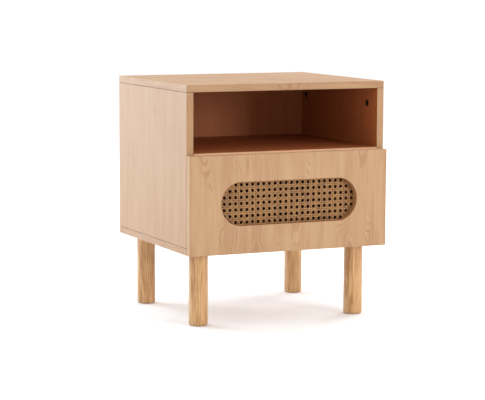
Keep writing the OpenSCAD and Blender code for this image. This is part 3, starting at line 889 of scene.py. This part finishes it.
@dataclass
class Carcass:
    """The fixed box: top, bottom, two sides, shelf and back.

    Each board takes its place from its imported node. Sizes are in millimetres.

    Attributes:
        edge: radius of the eased edges.
        thin_edge: the same on the back panel.
        lock_radius: radius of a cam lock's bore.
        lock_depth: its depth.
        lock_inset: from a bore's centre to the board's end.
        lock_front: Y of the front bores.
        side_lock_rear: Y of the side panels' rear bores.
        shelf_lock_rear: Y of the shelf's rear bores.
    """

    edge: float = 0.8
    thin_edge: float = 0.3
    lock_radius: float = 7.5
    lock_depth: float = 12.5
    lock_inset: float = 34.0
    lock_front: float = -138.0
    side_lock_rear: float = 154.0
    shelf_lock_rear: float = 128.5

    def build(self, shop: Workshop) -> None:
        """Makes the six boards."""
        back_front = float(box_mm("back_panel")[0][Axis.Y])
        self.level_boards(shop, back_front)
        self.sides(shop, back_front)
        self.shelf(shop)
        self.back(shop)

    def level_boards(self, shop: Workshop, back_front: float) -> None:
        """Makes the top and bottom panels, which run over and under the sides with their grain along X.

        Args:
            shop: where pieces are made.
            back_front: Y of the back panel's front, where the painted inner shade ends.
        """
        for name, inner in (("top_panel", -1), ("bottom_panel", 1)):
            # The inner face is darkened as painted shade up to the back panel.
            shaded_inside = Tone(Axis.Z, inner, INNER_SHADE, in_front_of=back_front)
            # The edges along the joints are darkened for glue and painted shadow.
            tones = (FRONT_BAND, shaded_inside, Tone(Axis.Z, inner, JOINT_GLUE_AND_SHADE, eased=True))
            dressing = Dressing(Slot.LAMINATE, Body.CABINET, (name,), Axis.X, Axis.Y, tones=tones)
            shop.piece(name + "_board", rounded_block(*box_mm(name), self.edge, cut=back_front), dressing)

    def sides(self, shop: Workshop, back_front: float) -> None:
        """Makes the side panels with upright grain and the open bores of their cam locks.

        Args:
            shop: where pieces are made.
            back_front: Y of the back panel's front, where the painted inner shade ends.
        """
        for name, side in (("left_side_panel", -1), ("right_side_panel", 1)):
            low, high = box_mm(name)
            levels = (low[Axis.Z] + self.lock_inset, high[Axis.Z] - self.lock_inset)
            places = ((y, z) for y in (self.lock_front, self.side_lock_rear) for z in levels)
            holes = [Hole(y, z, self.lock_radius, self.lock_depth) for y, z in places]
            # The end edges are darkened for glue and painted shadow.
            ends = tuple(Tone(Axis.Z, end, JOINT_GLUE_AND_SHADE, eased=True) for end in (-1, 1))
            # The inner face is darkened as painted shade up to the back panel.
            tones = (FRONT_BAND, Tone(Axis.X, -side, INNER_SHADE, in_front_of=back_front), *ends)
            dressing = Dressing(Slot.LAMINATE, Body.CABINET, (name,), Axis.Z, Axis.Y, tones=tones, figure=FAINT)
            block = rounded_block(low, high, self.edge, {(Axis.X, -side): holes}, cut=back_front)
            shop.piece(name + "_board", block, dressing)

    def shelf(self, shop: Workshop) -> None:
        """Makes the shelf, with the bores of its cam locks underneath."""
        low, high = box_mm("shelf_panel")
        sides = (low[Axis.X] + self.lock_inset, high[Axis.X] - self.lock_inset)
        places = ((x, y) for x in sides for y in (self.lock_front, self.shelf_lock_rear))
        holes = [Hole(x, y, self.lock_radius, self.lock_depth) for x, y in places]
        # The end edges are darkened for glue and painted shadow.
        ends = tuple(Tone(Axis.X, end, JOINT_GLUE_AND_SHADE, eased=True) for end in (-1, 1))
        # The shelf's top and underside are darkened as painted shade, and its lip is lightened as painted light.
        tones = (Tone(Axis.Y, -1, PAINTED_LIP_LIGHT), Tone(Axis.Z, -1, INNER_SHADE), Tone(Axis.Z, 1, INNER_SHADE), *ends)
        dressing = Dressing(Slot.LAMINATE, Body.CABINET, ("shelf_panel",), Axis.X, Axis.Y, tones=tones)
        shop.piece("shelf_panel_board", rounded_block(low, high, self.edge, {(Axis.Z, -1): holes}), dressing)

    def back(self, shop: Workshop) -> None:
        """Makes the thin back panel, whose edges sit in grooves."""
        # The back panel's front is darkened as painted shade.
        tones = (Tone(Axis.Y, -1, INNER_SHADE),)
        dressing = Dressing(Slot.THIN_BOARD, Body.CABINET, ("back_panel",), Axis.Z, Axis.X, tones=tones, figure=FAINT)
        shop.piece("back_panel_board", rounded_block(*box_mm("back_panel"), self.thin_edge, steps=1), dressing)


@dataclass
class Legs:
    """Four turned legs, each a straight round bar with a rounded foot. Sizes are in millimetres.

    Attributes:
        foot_round: radius of the foot's rounded edge.
        top_round: radius of the top's eased edge.
        sides: points in each ring.
    """

    foot_round: float = 3.5
    top_round: float = 0.6
    sides: int = 96

    def profile(self, radius: float, low: float, high: float) -> np.ndarray:
        """Gives the radius and height from the flat of the foot to the flat at the top."""
        foot = arc_profile((radius - self.foot_round, low + self.foot_round), self.foot_round, -90, 0, 8)
        top = arc_profile((radius - self.top_round, high - self.top_round), self.top_round, 0, 90, 3)
        return np.concatenate([foot, top])

    def build(self, shop: Workshop) -> None:
        """Turns the four legs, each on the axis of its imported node."""
        for name in ("front_left_leg", "front_right_leg", "rear_left_leg", "rear_right_leg"):
            low, high = box_mm(name)
            radius, centre = (high[0] - low[0]) / 2, tuple((low + high)[:2] / 2)
            leg = turned(self.profile(radius, low[2], high[2]), centre, self.sides)
            shop.piece(name + "_turned", leg, Dressing(Slot.LEG, Body.CABINET, (name,)))


@dataclass
class WindowedFront:
    """The drawer front: a board with a round-ended window. Sizes are in millimetres.

    Attributes:
        edge: radius of the eased outer edges.
        window_length: length of the window over its round ends.
        window_height: height of the window.
        window_level: Z of the window's centre line.
        window_edge: radius of the window's eased edges.
        edge_strips: strips across one of those edges.
        arc_steps: steps in half a turn of the window's ends.
    """

    edge: float = 0.8
    window_length: float = 310.0
    window_height: float = 90.0
    window_level: float = 256.0
    window_edge: float = 0.9
    edge_strips: int = 4
    arc_steps: int = 28

    def stations(self, middle: np.ndarray, half: np.ndarray) -> tuple[np.ndarray, np.ndarray, np.ndarray]:
        """Pairs places round the window with places round the board's outline.

        Each place of a round end looks out from that end's centre to the outline. Extra places look at the outline's
        corners, where its rounding needs them.

        Args:
            middle: X and Z of the board's centre.
            half: half its width and half its height.

        Returns:
            For each place, the window's skeleton point, its outward direction, and the outline's place as shares of the
            half width and half height.
        """
        straight = (self.window_length - self.window_height) / 2
        near = np.concatenate([edge_steps(self.edge, 3), [0.0]])
        places = []
        for side in (1, -1):
            centre = np.array([side * straight, self.window_level])
            angles = [np.linspace(-90, 90, self.arc_steps + 1)]
            for up in (-1, 1):
                corner = middle + half * np.array([side, up])
                for shift in (np.stack([near, 0 * near], -1), np.stack([0 * near, near], -1)):
                    point = corner - shift * np.array([side, up])
                    angles.append(np.degrees(np.arctan2(point[:, 1] - centre[1], side * (point[:, 0] - centre[0]))))
            turn = np.radians(np.unique(np.round(np.concatenate(angles), 7)))
            ray = np.stack([side * np.cos(turn), np.sin(turn)], -1)
            reach = np.full(len(turn), np.inf)
            for axis in (0, 1):
                with np.errstate(divide="ignore"):
                    wall = middle[axis] + np.sign(ray[:, axis]) * half[axis]
                    reach = np.minimum(reach, np.where(ray[:, axis] == 0, np.inf, (wall - centre[axis]) / ray[:, axis]))
            outline = (centre + reach[:, None] * ray - middle) / half
            order = slice(None) if side > 0 else slice(None, None, -1)
            places.append((np.broadcast_to(centre, ray.shape)[order], ray[order], outline[order]))
        return tuple(np.concatenate(p) for p in zip(*places))

    def surface(self) -> Surface:
        """Carries a section round the window, from the window's wall over the front to the outline and back.

        The section's window end keeps its distance from the window's skeleton, and its outer end shrinks with the
        board's outline, so every corner is met.

        Returns:
            The closed surface, with the grain of the window's wall running round it.
        """
        low, high = box_mm("drawer_front")
        face, rear = low[Axis.Y], high[Axis.Y]
        middle, half = (low + high)[[0, 2]] / 2, (high - low)[[0, 2]] / 2
        skeleton, ray, outline = self.stations(middle, half)
        radius, r = self.window_edge, self.edge
        bend = np.radians(np.linspace(0, 90, self.edge_strips + 1))
        steps = edge_steps(r, 3)
        inner = [(radius * (1 - math.cos(a)), face + radius * (1 - math.sin(a))) for a in bend]
        outer = [(s, face) for s in steps] + [(0.0, face + s) for s in steps[-2::-1]]
        columns = [("window", d, y) for d, y in inner] + [("outline", d, y) for d, y in outer]
        columns += [(kind, d, face + rear - y) for kind, d, y in reversed(columns)]
        points = np.empty((len(columns), len(ray), 3))
        for row, (kind, inset, y) in zip(points, columns):
            row[:, 1] = y
            if kind == "window":
                row[:, [0, 2]] = skeleton + (self.window_height / 2 + inset) * ray
            else:
                row[:, [0, 2]] = middle + (half - inset) * outline
                row[:] = softened(row, low, high, r)
        around = points[0][:, [0, 2]]
        length = np.concatenate([[0], np.cumsum(np.linalg.norm(np.diff(around, axis=0, append=around[:1]), axis=1))])
        rows, n = len(columns), len(ray)
        quads = grid_quads(rows, n, ring_rows=True, ring_columns=True)
        own, tone = np.full((rows, n, 4, 2), np.nan), np.ones((rows, n, 3))
        depth = np.array([y for _, _, y in columns])
        bent = len(inner)
        for i in [*range(bent - 1), *range(rows - bent, rows)]:
            own[i, :, 0:2, 0], own[i, :, 2:4, 0] = length[:-1, None], length[1:, None]
            own[i, :, 0, 1] = own[i, :, 3, 1] = depth[i]
            own[i, :, 1, 1] = own[i, :, 2, 1] = depth[(i + 1) % rows]
        # The window's wall takes the board core's colour.
        tone[[*range(bent - 2), *range(rows - bent + 1, rows)]] = CORE_AND_DRAWER_SHADE
        return Surface(points.reshape(-1, 3), quads, [], own.reshape(-1, 4, 2), tone.reshape(-1, 3))

    def build(self, shop: Workshop) -> None:
        """Makes the drawer front with upright grain."""
        # The drawer front's ends are lightened as a painted highlight.
        ends = tuple(Tone(Axis.X, end, END_HIGHLIGHT) for end in (-1, 1))
        # The front's top face is lightened as painted light, and its back face is darkened as painted shade.
        tones = (Tone(Axis.Z, 1, PAINTED_LIP_LIGHT), Tone(Axis.Y, 1, CORE_AND_DRAWER_SHADE), *ends)
        dressing = Dressing(Slot.LAMINATE, Body.DRAWER, ("drawer_front",), Axis.Z, Axis.X, tones=tones, figure=0.95)
        shop.piece("drawer_front_board", self.surface(), dressing)


# More lines than the cane panel has to either side of its middle. Those outside the panel are dropped.
MOST_LINES = 60
# How far along the fibre pattern the next strand starts, in millimetres, so no two strands look alike.
FRESH_PEEL = 400.0


@dataclass
class CaneInset:
    """Six-way woven cane, stapled behind the window.

    Pairs of upright and level strands pass over and under each other. Two sets of slanting strands cross on the pairs,
    halfway between the pairs' own crossings, and cut off the corners of each opening. Sizes are in millimetres.

    Attributes:
        pitch: from one pair to the next, along X and along Z.
        hole_shift: the opening nearest the panel's middle, from that middle.
        pair_gap: from a pair's middle to either of its strands' middles.
        strand_width: width of the paired strands.
        slant_width: width of the slanting strands.
        thickness: a strand's thickness.
        rise: how far a paired strand swings out of the panel's plane.
        slant_rise: the same for a slanting strand.
        step: distance between a strand's sections.
        shortest: length along X under which a slanting strand is left out at a corner.
        seed: seed of the strands' widths and tints.
        half_width: half the panel's width.
        half_height: half its height.
        middle: Y of its middle plane.
        level: Z of its centre.
    """

    pitch: tuple[float, float] = (12.7, 13.0)
    hole_shift: tuple[float, float] = (-2.0, -1.0)
    pair_gap: float = 1.9
    strand_width: float = 2.3
    slant_width: float = 2.4
    thickness: float = 0.46
    rise: float = 0.24
    slant_rise: float = 0.55
    step: float = 1.6
    shortest: float = 6.0
    seed: int = 7
    half_width: float = field(init=False)
    half_height: float = field(init=False)
    middle: float = field(init=False)
    level: float = field(init=False)

    def __post_init__(self) -> None:
        """Takes the panel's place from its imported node."""
        low, high = box_mm("cane_panel")
        self.half_width, _, self.half_height = (high - low) / 2
        _, self.middle, self.level = (low + high) / 2

    def ribbons(self, path: np.ndarray, across: np.ndarray, width: float, start: int) -> tuple[Surface, np.ndarray]:
        """Carries a strand's section along many paths at once.

        The section is a strip with a flat back and a domed skin side, six points round. It stays square to the path.

        Args:
            path: for each strand a row of points.
            across: for each strand the direction of its width.
            width: the strand's width.
            start: a number added to the random seed.

        Returns:
            The surface, and for each point its strand's tint.
        """
        count, n = path.shape[:2]
        rng = np.random.default_rng(self.seed + start)
        along = np.gradient(path, axis=1)
        along /= np.linalg.norm(along, axis=-1, keepdims=True)
        wide = np.broadcast_to(across[:, None], path.shape)
        out = np.cross(wide, along)
        out *= np.where(out[..., 1:2] > 0, -1.0, 1.0)
        section = np.array([(-0.5, -0.5), (0.5, -0.5), (0.49, 0.05), (0.27, 0.5), (-0.27, 0.5), (-0.49, 0.05)])
        sides = len(section)
        spread = width * rng.uniform(0.93, 1.04, count)[:, None, None, None]
        points = path[:, :, None] + section[:, :1] * spread * wide[:, :, None]
        points = points + section[:, 1:] * self.thickness * out[:, :, None]
        one = grid_quads(n, sides, ring_columns=True)
        quads = (one[None] + (np.arange(count) * n * sides)[:, None, None]).reshape(-1, 4)
        first, last = np.arange(sides)[::-1], (n - 1) * sides + np.arange(sides)
        ends = [k * n * sides + end for k in range(count) for end in (first, last)]
        run = np.concatenate([np.zeros((count, 1)), np.cumsum(np.linalg.norm(np.diff(path, axis=1), axis=-1), 1)], 1)
        run = run + FRESH_PEEL * np.arange(count)[:, None]
        i = np.arange(n - 1)
        side = np.arange(sides)
        own = np.empty((count, n - 1, sides, 4, 2))
        own[..., 0, 0] = own[..., 3, 0] = run[:, i, None]
        own[..., 1, 0] = own[..., 2, 0] = run[:, i + 1, None]
        own[..., 0, 1] = own[..., 1, 1] = side * width / 3
        own[..., 2, 1] = own[..., 3, 1] = (side + 1) * width / 3
        tint = np.repeat(rng.uniform(0, 1, count) ** 1.5, n * sides)
        return Surface(points.reshape(-1, 3), quads, ends, own.reshape(-1, 4, 2)), tint

    def pair_lines(self, axis: int) -> tuple[np.ndarray, np.ndarray]:
        """Gives the places of one direction's paired strands, and the number of each in the weave's order.

        Args:
            axis: 0 for upright strands, which are placed along X, or 1 for level ones, which are placed along Z.

        Returns:
            The places from the panel's middle, and the strands' numbers.
        """
        half = (self.half_width, self.half_height)[axis]
        pitch, shift = self.pitch[axis], self.hole_shift[axis]
        k = np.arange(-MOST_LINES, MOST_LINES + 1)
        place = (shift + (k + 0.5) * pitch)[:, None] + np.array([-1, 1]) * self.pair_gap
        number = 2 * k[:, None] + np.array([0, 1])
        keep = np.abs(place) < half - self.strand_width / 2
        return place[keep], number[keep]

    def pairs(self, axis: int) -> tuple[Surface, np.ndarray]:
        """Makes one direction's paired strands.

        A strand's height follows a cosine of the number of crossings passed, so it is over one strand and under the
        next, and flat where the slanting strands cross.
        """
        mine, number = self.pair_lines(axis)
        other, order = self.pair_lines(1 - axis)
        half = (self.half_width, self.half_height)[1 - axis]
        along = np.linspace(-half, half, int(2 * half / self.step) + 1)
        pitch = self.pitch[1 - axis]
        places = np.r_[other[0] - pitch, other, other[-1] + pitch]
        passed = np.interp(along, places, np.r_[order[0] - 1.5, order, order[-1] + 1.5])
        turn = math.pi * (passed[None, :] + number[:, None])
        height = (self.rise if axis == 0 else -self.rise) * np.cos(turn)
        path = np.empty(height.shape + (3,))
        path[..., 0 if axis == 0 else 2] = mine[:, None]
        path[..., 2 if axis == 0 else 0] = along[None, :]
        path[..., 1] = self.middle - height
        path[..., 2] += self.level
        across = np.zeros((len(mine), 3))
        across[:, 0 if axis == 0 else 2] = 1
        return self.ribbons(path, across, self.strand_width, axis)

    def slants(self, hand: int) -> tuple[Surface, np.ndarray]:
        """Makes one set of slanting strands.

        They lie on lines where the two pair coordinates, counted in pitches, add up to a whole number and a half. Their
        height is a flattened cosine of the distance along X, over one direction's pairs and under the other's.

        Args:
            hand: 1 or -1, for the two directions of slant.
        """
        pitch = np.array(self.pitch)
        origin = np.array(self.hole_shift) + pitch / 2
        half = np.array([self.half_width, self.half_height])
        k = np.arange(-MOST_LINES, MOST_LINES + 1) + 0.5
        # Along a strand z = level + c - hand * slope * x, so the panel's top and bottom bound x.
        slope = pitch[1] / pitch[0]
        cut = origin[1] + pitch[1] * k + hand * slope * origin[0]
        bounds = np.sort(hand * (cut[:, None] - half[1] * np.array([1, -1])) / slope, axis=1)
        start, end = np.maximum(bounds[:, 0], -half[0]), np.minimum(bounds[:, 1], half[0])
        keep = end - start > self.shortest
        start, end, cut = start[keep], end[keep], cut[keep]
        n = int(2 * half[1] * math.hypot(1, 1 / slope) / self.step) + 1
        x = start[:, None] + (end - start)[:, None] * np.linspace(0, 1, n)
        wave = np.cos(2 * math.pi * (x - origin[0]) / pitch[0])
        height = hand * self.slant_rise * np.tanh(2 * wave) / math.tanh(2)
        path = np.stack([x, self.middle - height, self.level + cut[:, None] - hand * slope * x], -1)
        across = np.broadcast_to(np.array([hand * slope, 0, 1]) / math.hypot(1, slope), (len(cut), 3))
        return self.ribbons(path, across, self.slant_width, 10 + hand)

    def build(self, shop: Workshop) -> None:
        """Weaves the panel as three pieces."""
        dressing = Dressing(Slot.CANE, Body.DRAWER, ("cane_panel",), crease=70)
        for name, axis in (("cane_upright_pairs", 0), ("cane_level_pairs", 1)):
            surface, tint = self.pairs(axis)
            shop.piece(name, surface, dressing, tint)
        sets = [self.slants(hand) for hand in (1, -1)]
        surface, tint = sets[0]
        second, more = sets[1]
        shift = len(surface.points)
        both = Surface(
            np.concatenate([surface.points, second.points]),
            np.concatenate([surface.quads, second.quads + shift]),
            surface.ngons + [n + shift for n in second.ngons],
            np.concatenate([surface.uv(), second.uv()]),
        )
        shop.piece("cane_slanting_strands", both, dressing, np.concatenate([tint, more]))


@dataclass
class DrawerBox:
    """The drawer's sides, back and bottom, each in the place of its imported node. Sizes are in millimetres.

    Attributes:
        edge: radius of the eased edges.
        thin_edge: the same on the bottom.
        lock_radius: radius of a cam lock's bore.
        lock_depth: its depth.
        lock_inset: from a bore's centre to the side's lower or upper edge.
        lock_y: Y of the bores.
        lock_cell: half the square of the side round a bore.
    """

    edge: float = 0.7
    thin_edge: float = 0.3
    lock_radius: float = 6.0
    lock_depth: float = 9.5
    lock_inset: float = 25.0
    lock_y: float = -161.0
    lock_cell: float = 9.0

    def build(self, shop: Workshop) -> None:
        """Makes the four boards."""
        for name, side in (("drawer_left_side", -1), ("drawer_right_side", 1)):
            low, high = box_mm(name)
            levels = (low[Axis.Z] + self.lock_inset, high[Axis.Z] - self.lock_inset)
            holes = [Hole(self.lock_y, z, self.lock_radius, self.lock_depth, self.lock_cell) for z in levels]
            # The drawer side's inner face is darkened as painted shade.
            tones = (Tone(Axis.X, -side, CORE_AND_DRAWER_SHADE),)
            dressing = Dressing(Slot.DRAWER_BOARD, Body.DRAWER, (name,), Axis.Y, Axis.Z, tones=tones)
            shop.piece(name + "_board", rounded_block(low, high, self.edge, {(Axis.X, side): holes}), dressing)
        # The drawer back's front face is darkened as painted shade.
        dressing = Dressing(
            Slot.DRAWER_BOARD, Body.DRAWER, ("drawer_back",), Axis.X, Axis.Z, tones=(Tone(Axis.Y, -1, CORE_AND_DRAWER_SHADE),)
        )
        shop.piece("drawer_back_board", rounded_block(*box_mm("drawer_back"), self.edge), dressing)
        # The drawer bottom's top face is darkened as painted shade.
        dressing = Dressing(
            Slot.THIN_BOARD, Body.DRAWER, ("drawer_bottom",), Axis.Y, Axis.X, tones=(Tone(Axis.Z, 1, CORE_AND_DRAWER_SHADE),)
        )
        shop.piece("drawer_bottom_board", rounded_block(*box_mm("drawer_bottom"), self.thin_edge, steps=1), dressing)


# ---- Studio ----


@dataclass(frozen=True)
class Softbox:
    """A square area light that looks at a point.

    Attributes:
        name: the light's name.
        place: where it stands, in metres.
        target: where it looks, in metres.
        size: its side in metres.
        power: its power in watts.
        colour: its sRGB hex colour.
    """

    name: str
    place: tuple[float, float, float]
    target: tuple[float, float, float]
    size: float
    power: float
    colour: str = "FFFFFF"

    def build(self) -> None:
        """Puts the light into the scene."""
        light = bpy.data.lights.new(self.name, "AREA")
        light.shape, light.size, light.energy = "SQUARE", self.size, self.power
        light.color = linear(self.colour)[:3]
        made = bpy.data.objects.new(self.name, light)
        made.matrix_world = looking_from(np.array(self.place), np.array(self.place) - np.array(self.target), 0.0)
        bpy.context.scene.collection.objects.link(made)


def looking_from(place: np.ndarray, back: np.ndarray, roll: float) -> Matrix:
    """Gives the placement of a camera or light.

    Args:
        place: its place in metres.
        back: the direction that its back looks in.
        roll: how far it is turned about its own line of sight, in radians.

    Returns:
        The world matrix.
    """
    back = back / np.linalg.norm(back)
    right = np.cross((0, 0, 1) if abs(back[2]) < 0.999 else (0, 1, 0), back)
    right /= np.linalg.norm(right)
    up = np.cross(back, right)
    cosine, sine = math.cos(roll), math.sin(roll)
    turned_right, turned_up = cosine * right + sine * up, cosine * up - sine * right
    matrix = Matrix.Identity(4)
    for column, vector in enumerate((turned_right, turned_up, back, place)):
        for row in range(3):
            matrix[row][column] = float(vector[row])
    return matrix


@dataclass
class Studio:
    """The floor, the lights, the surround and the camera.

    Attributes:
        azimuth: how far the camera stands round from the front, in degrees, where left is negative.
        elevation: how far up it stands, in degrees.
        roll: how far it is turned about its line of sight, in degrees.
        aim_height: height of the point that `aside` starts from, in metres.
        aside: the camera's place from that point, to its right, upwards and backwards, in metres.
        lens: its focal length in millimetres.
        surround: strength of the even light from all round.
        floor_tone: the floor's sRGB hex colour.
        lights: the softboxes.
    """

    azimuth: float = -24.38
    elevation: float = 6.87
    roll: float = 0.22
    aim_height: float = 0.25
    aside: tuple[float, float, float] = (-0.0159, -0.0129, 4.0345)
    lens: float = 138.53
    surround: float = 1.06
    floor_tone: str = "FAFAFA"
    lights: tuple[Softbox, ...] = (
        Softbox("back left sheen", (-1.8, 2.9, 1.2), (-0.2, 0, 0.25), 2.4, 137, "D2E3F4"),
        Softbox("back right rim", (2.4, 1.3, 1.1), (0.1, 0, 0.2), 1.2, 30, "F4F8FF"),
        Softbox("overhead", (0.4, 0.3, 3.0), (0, 0, 0.5), 1.4, 22, "FFF4E4"),
        Softbox("right front fill", (1.2, -2.3, 0.7), (0, 0.1, 0.42), 0.55, 20.5, "FFFCF8"),
    )

    def floor(self) -> None:
        """Lays a wide, plain pale floor."""
        reach = 40.0
        mesh = bpy.data.meshes.new("floor")
        corners = [(-reach, -reach, 0.0), (reach, -reach, 0.0), (reach, reach, 0.0), (-reach, reach, 0.0)]
        mesh.from_pydata(corners, [], [(0, 1, 2, 3)])
        material = Finish("pale studio floor", self.floor_tone, 0.7).build()
        mesh.materials.append(material)
        floor = bpy.data.objects.new("floor", mesh)
        bpy.context.scene.collection.objects.link(floor)

    def camera(self) -> None:
        """Stands the camera at the left of the front, a little above the top."""
        a, e = math.radians(self.azimuth), math.radians(self.elevation)
        back = np.array([math.sin(a) * math.cos(e), -math.cos(a) * math.cos(e), math.sin(e)])
        frame = np.array(looking_from(np.zeros(3), back, math.radians(self.roll)))[:3, :3]
        place = np.array([0, 0, self.aim_height]) + frame @ np.array(self.aside)
        data = bpy.data.cameras.new("camera")
        data.lens, data.sensor_width, data.clip_end = self.lens, 36.0, 200.0
        made = bpy.data.objects.new("camera", data)
        made.matrix_world = looking_from(place, back, math.radians(self.roll))
        bpy.context.scene.collection.objects.link(made)
        bpy.context.scene.camera = made

    def build(self) -> None:
        """Sets up the whole studio."""
        self.floor()
        for light in self.lights:
            light.build()
        world = bpy.data.worlds.new("surround")
        world.use_nodes = True
        background = world.node_tree.nodes["Background"]
        background.inputs["Color"].default_value = (1.0, 1.0, 1.0, 1.0)
        background.inputs["Strength"].default_value = self.surround
        bpy.context.scene.world = world
        bpy.context.scene.view_settings.view_transform = "Standard"
        self.camera()


def main() -> None:
    """Builds the cabinet's looks in order, then the studio."""
    logging.basicConfig(level=logging.INFO, format="%(name)s: %(message)s")
    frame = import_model()
    shop = Workshop(frame["nodes"], {slot: finish.build() for slot, finish in FINISHES.items()})
    for assembly in (Carcass(), Legs(), WindowedFront(), CaneInset(), DrawerBox()):
        assembly.build(shop)
    shop.dress_nodes(frame["record"])
    Studio().build()
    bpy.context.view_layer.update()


if __name__ == "__main__":
    main()
